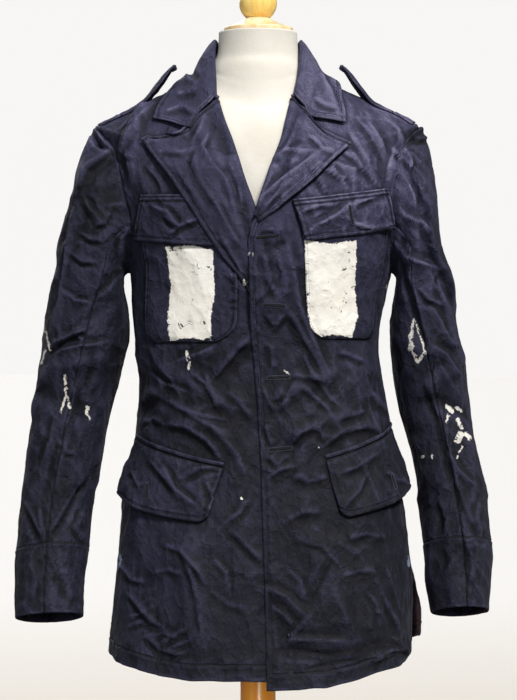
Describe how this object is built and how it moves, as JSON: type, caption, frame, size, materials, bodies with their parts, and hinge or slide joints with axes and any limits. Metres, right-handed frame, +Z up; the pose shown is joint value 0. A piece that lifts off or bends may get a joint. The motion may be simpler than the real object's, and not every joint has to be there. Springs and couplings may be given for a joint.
{
  "type": "prisoner of war jacket on a dress form",
  "caption": "Dark cotton military-style jacket with patch pockets, hip flaps, shoulder straps and notched collar, standing on a limbless dress form with a turned wooden stand.",
  "frame": {"origin": "middle of the underside of the stand's round base, on the floor", "axes": "+Z up; -Y towards the viewer, the way the jacket's front faces; +X to the viewer's right, which is the jacket's own left"},
  "size_m": [0.6054, 0.3, 1.1183],
  "materials": {
    "navy_twill": "worn matt cotton twill, dark navy faded towards purple",
    "cream_jersey": "fine cream jersey, matt",
    "pale_wood": "pale turned beech, satin varnish",
    "orange_wood": "orange-brown stained turned wood, satin varnish"
  },
  "bodies": {
    "root": {"back": "navy_twill", "front_left": "navy_twill", "front_right": "navy_twill", "top_sleeve_left": "navy_twill", "under_sleeve_left": "navy_twill", "top_sleeve_right": "navy_twill", "under_sleeve_right": "navy_twill", "collar": "navy_twill", "lapel_left": "navy_twill", "lapel_right": "navy_twill", "chest_pocket_left": "navy_twill", "chest_pocket_right": "navy_twill", "chest_flap_left": "navy_twill", "chest_flap_right": "navy_twill", "hip_welt_left": "navy_twill", "hip_welt_right": "navy_twill", "hip_flap_left": "navy_twill", "hip_flap_right": "navy_twill", "shoulder_strap_left": "navy_twill", "shoulder_strap_right": "navy_twill", "form_torso": "cream_jersey", "form_cap": "pale_wood", "form_finial": "pale_wood", "stand_pole": "orange_wood", "stand_base": "orange_wood"}
  },
  "joints": []
}
